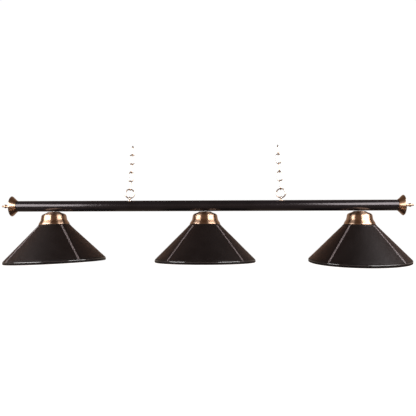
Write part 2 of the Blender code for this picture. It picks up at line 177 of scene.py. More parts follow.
def bridge(rings, closed):
    """Faces between rings of point numbers. A ring of one number is a pole."""
    faces = []
    pairs = list(zip(rings, rings[1:]))
    if closed:
        pairs.append((rings[-1], rings[0]))
    for upper, lower in pairs:
        count = max(len(upper), len(lower))
        for here in range(count):
            there = (here + 1) % count
            corners = (
                upper[here % len(upper)],
                lower[here % len(lower)],
                lower[there % len(lower)],
                upper[there % len(upper)],
            )
            faces.append(tuple(dict.fromkeys(corners)))
    return faces


def lathe(name, profile, steps, closed=True, thread=None, worn_and_lit=None, ripple=0):
    """A profile of (radius, height) points turned about Z. A closed one is a loop round its wall.

    thread is (depth, pitch, low, high) of a screw thread rolled into it, worn gives the wear at a
    point of the profile (on the binding, a painted highlight line), and ripple is the size of slow unevenness.
    """
    points = []
    wear_and_highlight = []
    rings = []
    for radius, height in profile:
        ring = []
        for step in range(steps if radius > 0 else 1):
            angle = 2 * math.pi * step / steps
            reach = radius
            if thread and thread[2] < height < thread[3]:
                reach += thread[0] * math.cos(2 * math.pi * height / thread[1] - angle)
            if ripple:
                place = Vector((math.cos(angle), math.sin(angle), height / 60)) * 7
                reach += ripple * noise.noise(place)
            ring.append(len(points))
            points.append((reach * math.cos(angle), reach * math.sin(angle), height))
            wear_and_highlight.append(worn_and_lit(radius, height) if worn_and_lit else 0)
        rings.append(ring)
    return finish_mesh(name, points, bridge(rings, closed), wear_and_highlight)


def spline(points, per=6):
    """A smooth curve through points."""
    ends = [points[0], *points, points[-1]]
    curve = []
    for before, start, end, after in zip(ends, ends[1:], ends[2:], ends[3:]):
        for step in range(per):
            t = step / per
            weights = (
                (-t + 2 * t * t - t**3) / 2,
                (2 - 5 * t * t + 3 * t**3) / 2,
                (t + 4 * t * t - 3 * t**3) / 2,
                (t**3 - t * t) / 2,
            )
            knots = (before, start, end, after)
            curve.append(tuple(sum(w * knot[i] for w, knot in zip(weights, knots)) for i in range(2)))
    return [*curve, points[-1]]


def measured_from(base, points):
    """Profile points whose heights are given from a base height."""
    return [(radius, base + step) for radius, step in points]


def rounded(points, radius, closed=True, steps=4):
    """The same outline with its corners rounded off."""
    made = []
    count = len(points)
    for index, corner in enumerate(points):
        if not closed and index in (0, count - 1):
            made.append(corner)
            continue
        here = Vector(corner)
        before = Vector(points[index - 1]) - here
        after = Vector(points[(index + 1) % count]) - here
        if before.length < 1e-6 or after.length < 1e-6 or before.angle(-after) < math.radians(16):
            made.append(corner)
            continue
        start = here + before.normalized() * min(radius, before.length * 0.45)
        end = here + after.normalized() * min(radius, after.length * 0.45)
        for step in range(steps + 1):
            t = step / steps
            made.append(tuple(start * (1 - t) ** 2 + here * 2 * t * (1 - t) + end * t * t))
    return made


def shell(outer, thickness):
    """A sheet's outline: its outer line, and the same line moved in by its thickness."""
    inner = []
    for index, (radius, height) in enumerate(outer):
        before = outer[max(index - 1, 0)]
        after = outer[min(index + 1, len(outer) - 1)]
        along = Vector((after[0] - before[0], after[1] - before[1])).normalized()
        inner.append((radius + along.y * thickness, height - along.x * thickness))
    return outer + inner[::-1]


class Wires:
    """Many round wires drawn into one mesh."""

    def __init__(self):
        self.points = []
        self.faces = []
        self.wear_and_highlight = []

    def add(self, path, radii, facing, sides=10, cyclic=False, worn_and_lit=0):
        """One wire along a path. facing is a direction that the path never follows."""
        rings = []
        count = len(path)
        for index, place in enumerate(path):
            before = path[index - 1 if cyclic else max(index - 1, 0)]
            after = path[(index + 1) % count if cyclic else min(index + 1, count - 1)]
            along = (after - before).normalized()
            across = along.cross(facing).normalized()
            up = across.cross(along)
            radius = radii[index] if isinstance(radii, list) else radii
            ring = []
            for side in range(sides):
                turn = 2 * math.pi * side / sides
                ring.append(len(self.points))
                self.points.append(place + radius * (across * math.cos(turn) + up * math.sin(turn)))
                self.wear_and_highlight.append(worn_and_lit)
            rings.append(ring)
        if not cyclic:
            rings = [self.pole(path[0], path[1], radii, 0), *rings]
            rings.append(self.pole(path[-1], path[-2], radii, -1))
        self.faces += bridge(rings, cyclic)

    def pole(self, end, inner, radii, index):
        """A point that closes a wire's end with a low dome."""
        radius = radii[index] if isinstance(radii, list) else radii
        self.points.append(end + (end - inner).normalized() * radius * 0.6)
        self.wear_and_highlight.append(0)
        return [len(self.points) - 1]

    def mesh(self, name):
        return finish_mesh(name, self.points, self.faces, self.wear_and_highlight, sharp=60)


def add_piece(name, data, material, matrix, body, slot, *nodes):
    """A piece in its place: it takes a material, rides on a body and hides the CAD nodes that it stands for. The
    slot is not used.
    """
    piece = bpy.data.objects.new(name, data)
    bpy.context.scene.collection.objects.link(piece)
    piece.matrix_world = matrix
    data.materials.append(material)
    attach(piece, body)
    if nodes:
        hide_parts(*nodes)
    return piece


def carve(data, operations):
    """Applies (operation, mesh, matrix) booleans to a mesh, and returns the new mesh."""
    scene = bpy.context.scene.collection
    body = bpy.data.objects.new("carved", data)
    scene.objects.link(body)
    helpers = []
    for operation, other, matrix in operations:
        helper = bpy.data.objects.new("helper", other)
        scene.objects.link(helper)
        helper.matrix_world = matrix
        helpers.append(helper)
        modifier = body.modifiers.new(operation, "BOOLEAN")
        modifier.operation = operation
        modifier.object = helper
    bpy.context.view_layer.update()
    evaluated = body.evaluated_get(bpy.context.evaluated_depsgraph_get())
    made = bpy.data.meshes.new_from_object(evaluated)
    made.name = data.name
    made.materials.clear()
    made.shade_smooth()
    made.set_sharp_from_angle(angle=math.radians(35))
    for helper in [body, *helpers]:
        bpy.data.objects.remove(helper)
    return made


# Materials


class Look:
    """A node material in the making."""

    def __init__(self, name, values):
        self.material = bpy.data.materials.new(name)
        self.material.use_nodes = True
        self.tree = self.material.node_tree
        self.shader = self.tree.nodes["Principled BSDF"]
        self.fill(self.shader, values)

    def fill(self, node, values):
        """Sets or links a node's inputs: a value is a number, a colour or another node's output."""
        for socket, value in values.items():
            if isinstance(value, bpy.types.NodeSocket):
                self.tree.links.new(value, node.inputs[socket])
            else:
                node.inputs[socket].default_value = value

    def add(self, kind, values=None, **settings):
        node = self.tree.nodes.new(kind)
        for setting, value in settings.items():
            setattr(node, setting, value)
        self.fill(node, values or {})
        return node

    def place(self, scale=(1, 1, 1)):
        """The piece's own coordinates, stretched."""
        own = self.add("ShaderNodeTexCoord").outputs["Object"]
        return self.add("ShaderNodeMapping", {"Vector": own, "Scale": scale}).outputs["Vector"]

    def noise(self, vector, scale, detail=4.0, roughness=0.6):
        values = {"Vector": vector, "Scale": scale, "Detail": detail, "Roughness": roughness}
        return self.add("ShaderNodeTexNoise", values).outputs["Fac"]

    def ramp(self, factor, low, high, start=0.3, end=0.7):
        """A colour between two, as the factor goes from start to end."""
        node = self.add("ShaderNodeValToRGB", {"Fac": factor})
        stops = node.color_ramp.elements
        stops[0].position = start
        stops[0].color = (*low, 1)
        stops[1].position = end
        stops[1].color = (*high, 1)
        return node.outputs["Color"]

    def span(self, value, low, high, start=0.3, end=0.7):
        """A number between two, as the value goes from start to end."""
        values = {"Value": value, "From Min": start, "From Max": end, "To Min": low, "To Max": high}
        return self.add("ShaderNodeMapRange", values).outputs["Result"]

    def blend(self, factor, low, high):
        """A mix of two colours, either of which may be an output."""
        node = self.add("ShaderNodeMix", data_type="RGBA")
        colours = {"Factor": factor, "A": low, "B": high}
        for name, value in colours.items():
            kind = "VALUE" if name == "Factor" else "RGBA"
            socket = next(s for s in node.inputs if s.name == name and s.type == kind)
            if isinstance(value, bpy.types.NodeSocket):
                self.tree.links.new(value, socket)
            else:
                socket.default_value = value if kind == "VALUE" else (*value, 1)
        return next(s for s in node.outputs if s.type == "RGBA")

    def maths(self, operation, first, second):
        node = self.add("ShaderNodeMath", operation=operation)
        self.fill(node, {0: first, 1: second})
        return node.outputs["Value"]

    # The point's wear value; on the binding it marks a painted highlight line.
    def wear_and_highlight(self):
        return self.add("ShaderNodeAttribute", attribute_name="wear_and_highlight").outputs["Fac"]

    def bump(self, height, distance, below=None, strength=1.0):
        values = {"Height": height, "Distance": distance, "Strength": strength}
        if below is not None:
            values["Normal"] = below
        return self.add("ShaderNodeBump", values).outputs["Normal"]

    def shade(self, colour, roughness=None, normal=None):
        values = {"Base Color": colour, "Roughness": roughness, "Normal": normal}
        self.fill(self.shader, {socket: value for socket, value in values.items() if value is not None})
        return self.material


def leather_look(name, dark, light, worn_and_lit, smooth, rough, grain, sheen):
    """Grained leather: pebbles parted by fine creases, slow blotches of dye, edges rubbed to a shine, and a
    lighter colour by the wear value, a painted highlight line on the binding.
    """
    look = Look(name, {"Specular IOR Level": 0.17, "Specular Tint": (1.0, 0.88, 0.9, 1)})
    look.fill(look.shader, {"Coat Weight": look.wear_and_highlight(), "Coat Roughness": 0.07, "Coat IOR": 1.9})
    bloom = {"Sheen Weight": sheen, "Sheen Roughness": 0.34, "Sheen Tint": (1.0, 0.42, 0.27, 1)}
    look.fill(look.shader, bloom)
    own = look.place()
    stir = look.add("ShaderNodeTexNoise", {"Vector": own, "Scale": 160.0, "Detail": 3.0}).outputs["Color"]
    moved = look.add("ShaderNodeVectorMath", {0: stir, 1: (0.0025, 0.0025, 0.0025)}, operation="MULTIPLY")
    bent = look.add("ShaderNodeVectorMath", {0: own, 1: moved.outputs["Vector"]}, operation="ADD")
    cells = look.add("ShaderNodeTexVoronoi", {"Vector": bent.outputs["Vector"], "Scale": grain})
    cells.feature = "DISTANCE_TO_EDGE"
    pebbles = look.span(cells.outputs["Distance"], 0.0, 1.0, 0.0, 0.16)
    blotches = look.noise(own, 14.0, 5.0)
    pores = look.noise(own, 2600.0, 3.0)
    dye = look.ramp(blotches, dark, light)
    creased = look.blend(look.span(pebbles, 0.45, 0.0, 0.0, 0.7), dye, (0.004, 0.0035, 0.0035))
    # Lighter colour by the wear value: on the binding this is a painted highlight line.
    rubbed_and_lit_colour = look.blend(look.maths("MULTIPLY", look.wear_and_highlight(), look.span(pores, 0.5, 1.0)), creased, worn_and_lit)
    sides = look.maths("ADD", look.span(blotches, smooth, rough), look.span(pebbles, 0.08, 0.0, 0.0, 0.8))
    height = look.maths("ADD", pebbles, look.maths("MULTIPLY", pores, 0.35))
    creases = look.bump(look.noise(own, 34.0, 3.0), 0.0006, strength=0.5)
    return look.shade(rubbed_and_lit_colour, sides, look.bump(height, 0.00011, creases, 0.8))


def brushed_look(name, dark, light, worn_and_lit, smooth, rough):
    """Turned and brushed metal with a thin uneven patina. The brush marks run round the piece's axis."""
    look = Look(name, {"Metallic": 1.0, "Anisotropic": 0.9, "Anisotropic Rotation": 0.25})
    tangent = look.add("ShaderNodeTangent", direction_type="RADIAL", axis="Z").outputs["Tangent"]
    look.fill(look.shader, {"Tangent": tangent})
    marks = look.noise(look.place((6, 6, 900)), 1.0, 3.0, 0.7)
    cloud = look.noise(look.place(), 16.0, 5.0)
    tone = look.maths("ADD", look.maths("MULTIPLY", marks, 0.35), look.maths("MULTIPLY", cloud, 0.65))
    colour = look.ramp(tone, dark, light, 0.38, 0.62)
    colour = look.blend(look.maths("MULTIPLY", look.wear_and_highlight(), look.span(cloud, 0.4, 0.9)), colour, worn_and_lit)
    sides = look.span(tone, rough, smooth, 0.36, 0.64)
    return look.shade(colour, sides, look.bump(marks, 0.00002, strength=0.3))


def polished_look(name, dark, light, smooth, rough, dirt):
    """Drawn wire or stamped metal, polished, with dull tarnish in blotches."""
    look = Look(name, {"Metallic": 1.0})
    own = look.place()
    cloud = look.noise(own, 120.0, 6.0)
    fine = look.noise(own, 1400.0, 3.0)
    colour = look.ramp(cloud, dark, light, 0.35, 0.6)
    colour = look.blend(look.span(fine, 0.0, 0.35, 0.55, 0.8), colour, dirt)
    return look.shade(colour, look.span(cloud, rough, smooth), look.bump(fine, 0.00002, strength=0.6))


def paint_look():
    """Satin black paint with a faint orange peel, and fine dust marks in its gloss."""
    look = Look("satin_black_paint", {"Specular IOR Level": 0.48, "Specular Tint": (1.0, 0.9, 0.93, 1)})
    own = look.place()
    cloud = look.noise(own, 9.0, 6.0)
    peel = look.noise(own, 420.0, 2.0)
    dust = look.noise(look.place((900, 900, 60)), 1.0, 4.0)
    colour = look.ramp(cloud, (0.006, 0.0052, 0.006), (0.011, 0.009, 0.0105))
    sides = look.maths("ADD", look.span(cloud, 0.18, 0.22), look.span(dust, -0.01, 0.015))
    return look.shade(colour, sides, look.bump(peel, 0.00002, strength=0.25))


def thread_look():
    """Waxed thread: two plies twisted together, with a painted highlight on each ply's crest and painted shade in
    the grooves.
    """
    look = Look("waxed_thread", {"Specular IOR Level": 0.4, "Sheen Weight": 0.3, "Sheen Roughness": 0.4})
    own = look.place()
    plies = look.add("ShaderNodeTexWave", {"Vector": own, "Scale": 420.0, "Distortion": 1.5, "Detail": 2.0})
    plies.bands_direction = "DIAGONAL"
    fibres = look.noise(own, 3000.0, 3.0)
    # The colour follows the plies' height: the paler crests are a painted highlight and the darker grooves painted
    # shade.
    colour = look.ramp(plies.outputs["Fac"], (0.12, 0.092, 0.094), (0.23, 0.185, 0.19), 0.1, 0.8)
    height = look.maths("ADD", plies.outputs["Fac"], look.maths("MULTIPLY", fibres, 0.4))
    return look.shade(colour, look.span(fibres, 0.5, 0.75), look.bump(height, 0.00012, strength=0.8))


def glaze_look(name, dark, light, peel_scale, coat):
    """Enamel or glazed porcelain: a glossy coat over an uneven body, with a few dark specks."""
    look = Look(name, {"Coat Weight": coat, "Coat Roughness": 0.08, "Specular IOR Level": 0.5})
    own = look.place()
    cloud = look.noise(own, 18.0, 5.0)
    specks = look.noise(own, 1100.0, 1.0)
    colour = look.ramp(cloud, dark, light)
    colour = look.blend(look.span(specks, 0.0, 0.5, 0.76, 0.84), colour, (0.2, 0.17, 0.13))
    peel = look.noise(own, peel_scale, 2.0)
    return look.shade(colour, look.span(cloud, 0.28, 0.42), look.bump(peel, 0.0001, strength=0.3))


def frosted_look():
    """A frosted lamp bulb: etched inside, so it is milky with a soft gloss."""
    values = {"IOR": 1.47, "Transmission Weight": 0.25, "Coat Weight": 0.5, "Coat Roughness": 0.06}
    look = Look("frosted_glass", values)
    own = look.place()
    cloud = look.noise(own, 40.0, 4.0)
    etch = look.noise(own, 2200.0, 2.0)
    colour = look.ramp(cloud, (0.86, 0.85, 0.81), (0.95, 0.94, 0.91))
    return look.shade(colour, look.span(etch, 0.3, 0.45), look.bump(etch, 0.00002, strength=0.4))


def zinc_look():
    """Zinc plating: pale, with the crystals' faint spangle."""
    look = Look("zinc_plate", {"Metallic": 1.0})
    own = look.place()
    crystals = look.add("ShaderNodeTexVoronoi", {"Vector": own, "Scale": 420.0}).outputs["Color"]
    grey = look.add("ShaderNodeRGBToBW", {"Color": crystals}).outputs["Val"]
    colour = look.ramp(grey, (0.4, 0.4, 0.4), (0.62, 0.63, 0.64), 0.1, 0.9)
    return look.shade(colour, look.span(grey, 0.28, 0.46, 0.1, 0.9), look.bump(grey, 0.00002, strength=0.4))


def sleeve_look():
    """Black flex insulation with a fine matt skin."""
    look = Look("black_insulation", {"Specular IOR Level": 0.4})
    own = look.place()
    skin = look.noise(own, 900.0, 4.0)
    colour = look.ramp(skin, (0.018, 0.018, 0.019), (0.04, 0.04, 0.042))
    return look.shade(colour, look.span(skin, 0.5, 0.65), look.bump(skin, 0.00005, strength=0.5))


PAINT = paint_look()
BRONZE = brushed_look(
    "brushed_bronze",
    dark=(0.46, 0.285, 0.185),
    light=(0.56, 0.39, 0.285),
    worn_and_lit=(0.8, 0.64, 0.52),
    smooth=0.31,
    rough=0.36,
)
CHAIN = polished_look(
    "chain_metal",
    dark=(0.62, 0.45, 0.33),
    light=(0.86, 0.7, 0.58),
    smooth=0.12,
    rough=0.26,
    dirt=(0.2, 0.11, 0.06),
)
BRASS = polished_look(
    "shell_brass",
    dark=(0.55, 0.38, 0.16),
    light=(0.8, 0.62, 0.32),
    smooth=0.2,
    rough=0.38,
    dirt=(0.25, 0.16, 0.07),
)
STEEL = zinc_look()
PANEL = leather_look(
    "panel_leather",
    dark=(0.0035, 0.0028, 0.0028),
    light=(0.006, 0.0046, 0.0044),
    worn_and_lit=(0.014, 0.01, 0.009),
    smooth=0.42,
    rough=0.55,
    grain=900.0,
    sheen=0.19,
)
# The binding's worn colour is the colour of a painted highlight line along its roll.
BINDING = leather_look(
    "binding_leather",
    dark=(0.003, 0.0025, 0.0025),
    light=(0.005, 0.004, 0.004),
    worn_and_lit=(0.035, 0.028, 0.028),
    smooth=0.4,
    rough=0.5,
    grain=1150.0,
    sheen=0.02,
)
THREAD = thread_look()
ENAMEL = glaze_look("white_enamel", (0.8, 0.79, 0.75), (0.87, 0.86, 0.83), 260.0, 0.5)
PORCELAIN = glaze_look("glazed_porcelain", (0.82, 0.81, 0.77), (0.9, 0.89, 0.86), 160.0, 0.9)
GLASS = frosted_look()
SLEEVE = sleeve_look()


# Bar and its ends


def peg(radius, length):
    """A short cylinder on Z, used to cut a hole."""
    end = length / 2
    return lathe("peg", [(0, end), (radius, end), (radius, -end), (0, -end)], 32, False)


def make_bar():
    """The painted tube, with a hole for each nipple below and for each loop above."""
    inner = BAR_RADIUS - BAR_WALL
    wall = [(BAR_RADIUS, BAR_HALF), (BAR_RADIUS, -BAR_HALF), (inner, -BAR_HALF), (inner, BAR_HALF)]
    tube = lathe("bar_painted", rounded(wall, 0.4), 96)
    place = end_frame("right")
    holes = []
    for side in SIDES:
        hole = lamp_frame(side) @ Matrix.Translation((0, 0, -BAR_RADIUS * MM))
        holes.append(("DIFFERENCE", peg(NIPPLE_RADIUS + FIT_GAP, 10), place.inverted() @ hole))
    for side in ENDS:
        hole = loop_frame(side) @ Matrix.Translation((0, 0, BAR_RADIUS * MM))
        holes.append(("DIFFERENCE", peg(STEM_RADIUS + FIT_GAP, 10), place.inverted() @ hole))
    add_piece("bar_painted", carve(tube, holes), PAINT, place, "bar", "black_paint", "bar_tube")


def cap_profile():
    """A spun trumpet: a shallow face, a rolled rim, a flare and a plain collar on the tube."""
    hole = STUD_RADIUS + 0.4
    face = measured_from(CAP_FACE, [(hole, 0), (10, -0.15), (20, -0.8), (29, -1.7), (34, -2.7)])
    rim = measured_from(CAP_FACE, [(36.2, -3.6), (37.3, -4.9), (CAP_RADIUS, -6.1), (36.9, -7.3)])
    flare = measured_from(CAP_FACE, [(35, -9.4), (31.2, -13.6), (27.2, -17.8), (24.1, -21.3), (22.2, -24)])
    collar = measured_from(CAP_START, [(21.6, 0.4), (21.2, 0)])
    throat = measured_from(CAP_START, [(CAP_BORE, 0), (CAP_BORE, 2), (22, 3.7), (25.4, 7.8), (29, 11.8)])
    inside = measured_from(CAP_FACE, [(33, -9), (34.8, -6.2), (34, -4.4), (21, -2.4), (hole, -1.8)])
    return rounded(spline(face) + spline(rim) + spline(flare) + collar + throat + inside, 0.4)


def cap_wear(radius, height):
    """Only the rolled rim is rubbed."""
    return max(0, min(1, (radius - 36.2) / 1.2))


def finial_profile():
    """A turned knob: pointed tip, neck, bead, stem and washer, on a stud."""
    point = [(0, 0), (1.6, -0.3), (2.9, -1.3), (3.6, -3), (3.4, -4.6), (2.9, -6), (2.8, -8)]
    bead = [(3.4, -9), (5.6, -10.2), (6.9, -12.4), (6.8, -14.8), (5.6, -16.8), (5, -18)]
    stem = [(5, TIP - 24), *measured_from(CAP_FACE, [(5, 4), (5.8, 2.6), (7.6, 2)])]
    washer = [(8, 1.6), (8, 0.6), (7.8, FIT_GAP)]
    stud = [(STUD_RADIUS, FIT_GAP), (STUD_RADIUS, -20), (0, -20)]
    knob = spline(measured_from(TIP, point), 4) + spline(measured_from(TIP, bead), 4) + spline(stem, 4)
    return knob + measured_from(CAP_FACE, washer + stud)


def make_bar_ends():
    """A cap and a finial on each end of the bar."""
    for side in ENDS:
        place = end_frame(side)
        cap = lathe(f"trumpet_cap_{side}", cap_profile(), 128, worn_and_lit=cap_wear)
        add_piece(cap.name, cap, BRONZE, place, "bar", "bronze", f"end_cap_{side}")
        knob = lathe(f"turned_finial_{side}", finial_profile(), 64, False)
        add_piece(knob.name, knob, BRONZE, place, "bar", "bronze", f"finial_{side}")


# Loops, rings and chains


def oval(straight, bend, across_x, middle, steps=14):
    """Points round a link's centreline, whose plane holds Z and either X or Y."""
    turns = [math.pi * step / steps for step in range(steps + 1)]
    upper = [(bend * math.cos(turn), straight / 2 + bend * math.sin(turn)) for turn in turns]
    lower = [(-along, -height) for along, height in upper]
    flat = [Vector((along, 0, height + middle)) for along, height in upper + lower]
    return flat if across_x else [Vector((0, point.x, point.z)) for point in flat]


def make_loop(side):
    """An eye on a stepped collar that is shaped to the bar, with a hollow stem through the wall."""
    collar = rounded([(0, 23.3), (4.4, 23.3), (5, 22.3), (6.8, 21.7), (6.8, 17), (0, 17)], 0.5, False)
    eye = Wires()
    ring = [
        Vector((0, EYE_BEND * math.cos(turn), EYE_CENTRE + EYE_BEND * math.sin(turn)))
        for turn in [2 * math.pi * step / 40 for step in range(40)]
    ]
    eye.add(ring, EYE_WIRE, Vector((1, 0, 0)), 16, cyclic=True)
    here = Matrix.Identity(4)
    steps = [
        ("UNION", eye.mesh("eye"), here),
        ("DIFFERENCE", peg(BAR_RADIUS + FIT_GAP, 40), Matrix.Rotation(QUARTER, 4, "Y")),
        ("UNION", peg(STEM_RADIUS, 12), Matrix.Translation((0, 0, 15 * MM))),
        ("DIFFERENCE", peg(CORD_HOLE, 20), Matrix.Translation((0, 0, 14 * MM))),
    ]
    loop = carve(lathe(f"eye_loop_{side}", collar, 48, False), steps)
    add_piece(f"eye_loop_{side}", loop, CHAIN, loop_frame(side), "bar", "chain_brass", f"loop_{side}")


def make_chain(side):
    """A ring and five welded links. Every other link is turned by a quarter."""
    place = chain_frame(side)
    ring_low = -(EYE_WIRE + RING_WIRE + FIT_GAP)
    middle = ring_low + RING_BEND
    turns = [2 * math.pi * step / 56 for step in range(56)]
    circle = [Vector((RING_BEND * math.sin(turn), 0, middle + RING_BEND * math.cos(turn))) for turn in turns]
    ring = Wires()
    ring.add(circle, RING_WIRE, Vector((0, 1, 0)), 16, cyclic=True)
    name = f"wire_ring_{side}"
    add_piece(name, ring.mesh(name), CHAIN, place, f"ring_{side}", "chain_brass", f"ring_{side}")
    between_wires = LINK_INNER_LENGTH + 2 * LINK_WIRE
    low = ring_low + 2 * RING_BEND - (RING_WIRE + LINK_WIRE + FIT_GAP)
    for number in range(1, LINKS + 1):
        across_x = number % 2 == 0
        path = oval(between_wires - 2 * LINK_BEND, LINK_BEND, across_x, low + between_wires / 2)
        path, radii = with_weld(path, weld_start(path, low + between_wires * 0.3))
        link = Wires()
        link.add(path, radii, Vector((0, 1, 0)) if across_x else Vector((1, 0, 0)), 14, cyclic=True)
        name = f"welded_link_{number}_{side}"
        body = "top_links" if number == LINKS else f"link_{number}_{side}"
        add_piece(name, link.mesh(name), CHAIN, place, body, "chain_brass", f"link_{number}_{side}")
        low += LINK_INNER_LENGTH - FIT_GAP


def weld_start(path, height):
    """The point just before a link's weld, which lies on the straight towards -X or -Y."""
    side_first = 9
    costs = [abs(place.z - height) + side_first * (place.x + place.y) for place in path]
    return costs.index(min(costs))


def with_weld(path, start):
    """The same path with points added along the straight after start, where a weld swells the wire."""
    end = path[(start + 1) % len(path)]
    made = []
    radii = []
    for index, place in enumerate(path):
        made.append(place)
        radii.append(LINK_WIRE)
        if index != start:
            continue
        for share in (0.3, 0.4, 0.46, 0.5, 0.54, 0.6, 0.7):
            made.append(place.lerp(end, share))
            radii.append(LINK_WIRE * (1 + 0.13 * math.exp(-(((share - 0.5) / 0.05) ** 2))))
    return made, radii


# Lamp units


def fitter_profile():
    """A spun bell: a seat under the bar, an ogee shoulder and a flared lip with a rolled edge."""
    seat = [(NIPPLE_RADIUS + FIT_GAP, -20.75), (9, -20.75)]
    roof = [(20.5, -21.6), (23.8, -22.9), (27.3, -25.1), (32.5, -27.1), (37.6, -28.9)]
    shoulder = [(42, -31.6), (44.4, -34.6), (45.5, -38)]
    body = [(46.3, -43), (47.1, -47.6), (48.1, -51.8)]
    flare = [(50.2, -55.6), (52.6, -59.3), (54.7, -62.6), (55.8, -65.2)]
    lip = [(56.4, -66.3), (56.3, -67.4), (55.8, -67.9)]
    return rounded(shell(seat + spline(roof + shoulder) + spline(body + flare) + lip, 1.1), 0.3)


def fitter_wear(radius, height):
    """The lip and the shoulder are rubbed."""
    lip = (radius - 55.8) / 1.1
    shoulder = 1 - abs(height + 33.5) / 3 if radius > 43 else 0
    return max(0, min(1, lip, 1), shoulder * 0.5)


CONE_RISE = SHADE_TOP - LINER_BEND
CONE_RUN = LINER_EDGE_RADIUS - SHADE_TOP_RADIUS
CONE_WALL = math.hypot(CONE_RISE, CONE_RUN)
OUT_R = CONE_RISE / CONE_WALL
OUT_Z = CONE_RUN / CONE_WALL


def cone_radius(height):
    """The outer radius of the steel cone, above its bend."""
    return SHADE_TOP_RADIUS + (SHADE_TOP - height) * CONE_RUN / CONE_RISE


def cover_radius(height):
    """The outer radius of the leather."""
    return cone_radius(height) + (FIT_GAP + LEATHER) / OUT_R


COVER_TOP = SHADE_TOP - 0.2
COVER_LENGTH = (COVER_TOP - (HEM_TOP + FIT_GAP)) / OUT_R


def on_cover(down, angle, sideways=0.0, lift=0.0):
    """A point on the leather: a distance down the slope, an angle, a step sideways and a lift."""
    height = COVER_TOP - down * OUT_R
    radius = cover_radius(height)
    turned = angle + sideways / radius
    reach = radius + lift * OUT_R
    return Vector((reach * math.cos(turned), reach * math.sin(turned), height + lift * OUT_Z))


def eased(start, end, value):
    """0 up to the start, 1 from the end on, and smooth in between."""
    share = max(0, min(1, (value - start) / (end - start)))
    return share * share * (3 - 2 * share)


def bell(value, centre, width):
    """1 at the centre, fading away over about a width on either side."""
    return math.exp(-(((value - centre) / width) ** 2))


def seam_lift(sideways, down):
    """The seam's cross-section: two folded edges, a groove between them, and stitch holes."""
    away = abs(sideways)
    ridge = SEAM_LIFT * (1 - eased(3.3, 4.6, away)) - 0.3 * bell(away, 0, 0.5) - 0.2 * bell(away, 7, 2)
    pull = math.cos(math.pi * down / STITCH_PITCH) ** 8
    return ridge - (0.14 + 0.2 * pull) * bell(away, STITCH_ROW, 0.8)


def cover_columns(down):
    """(angle, sideways, lift, wear) of each column at a distance down the slope."""
    radius = cover_radius(COVER_TOP - down * OUT_R)
    columns = []
    for quarter in range(4):
        seam = QUARTER / 2 + quarter * QUARTER
        for sideways in SEAM_COLUMNS:
            lift = seam_lift(sideways, down)
            wear_and_highlight = 0.8 * bell(abs(sideways), 3.4, 0.6)
            columns.append((seam, sideways, lift, wear_and_highlight))
        start = SEAM_COLUMNS[-1] / radius
        for step in range(1, PANEL_COLUMNS):
            share = step / PANEL_COLUMNS
            columns.append((seam + start + (QUARTER - 2 * start) * share, 0.0, 0.0, 0.0))
    return columns


# The leather's lower edge and its back: (distance down the slope, lift)
COVER_BACK = (
    (COVER_LENGTH + 0.15, -0.4),
    (COVER_LENGTH + 0.15, -1.2),
    (COVER_LENGTH, -1.5),
    (0.6, -1.5),
)

# The leather's upper edge, turned in over the cone's top plate: (radius, height)
TURNED_IN = (
    (55.1, -70.75),
    (50.4, -70.75),
    (49.9, -70.3),
    (49.9, -69),
    (50.6, -68.3),
    (55, -68.2),
    (56.4, -68.6),
    (57.3, -69.5),
    (57.6, -70.3),
)


def cover_mesh(name, seed):
    """Four leather panels over the cone. Taut leather still waves a little, and its edges are folded."""
    rows = round(COVER_LENGTH / ROW_SPACING)
    points = []
    wear_and_highlight = []
    rings = []
    for row in range(rows + 1):
        down = COVER_LENGTH * row / rows
        fold = 0.45 * (1 - eased(3.4, 5, down))
        ring = []
        for angle, sideways, lift, worn_and_lit in cover_columns(down):
            at = on_cover(down, angle, sideways)
            wave = 0.3 * noise.noise(at / 46 + seed) + 0.1 * noise.noise(at / 13 + seed)
            ring.append(len(points))
            points.append(on_cover(down, angle, sideways, lift + fold + wave))
            wear_and_highlight.append(max(worn_and_lit, 0.7 * bell(down, 0, 1.4)))
        rings.append(ring)
    for down, lift in COVER_BACK:
        ring = []
        for angle, sideways, _, _ in cover_columns(down):
            ring.append(len(points))
            points.append(on_cover(down, angle, sideways, lift))
            wear_and_highlight.append(0)
        rings.append(ring)
    for reach, height in TURNED_IN:
        ring = []
        for angle, sideways, _, _ in cover_columns(0):
            turned = angle + sideways / cover_radius(COVER_TOP)
            ring.append(len(points))
            points.append(Vector((reach * math.cos(turned), reach * math.sin(turned), height)))
            wear_and_highlight.append(0)
        rings.append(ring)
    return finish_mesh(name, points, bridge(rings, True), wear_and_highlight, sharp=75)


def stitches(name):
    """Two rows of slanted stitches along each seam and on over the binding's upper edge."""
    wires = Wires()
    shares = (0, 0.12, 0.35, 0.65, 0.88, 1)
    heights = (-0.5, 0.15, 0.4, 0.4, 0.15, -0.5)
    radii = [0.6, 0.9, 1.0, 1.0, 0.9, 0.6]
    for quarter in range(4):
        seam = QUARTER / 2 + quarter * QUARTER
        for row in (-STITCH_ROW, STITCH_ROW):
            down = STITCH_PITCH * 0.5
            while down < COVER_LENGTH:
                path = []
                for share, height in zip(shares, heights):
                    slant = 0.4 * (share - 0.5)
                    at = down + 0.1 + (STITCH_PITCH - 0.2) * share
                    lift = SEAM_LIFT * (1 - eased(COVER_LENGTH - 2, COVER_LENGTH, at)) - 0.2
                    path.append(on_cover(at, seam, row + slant, lift + height))
                facing = on_cover(down, seam, row, 1) - on_cover(down, seam, row, 0)
                wires.add(path, radii, facing, 8)
                down += STITCH_PITCH
    return wires.mesh(name)


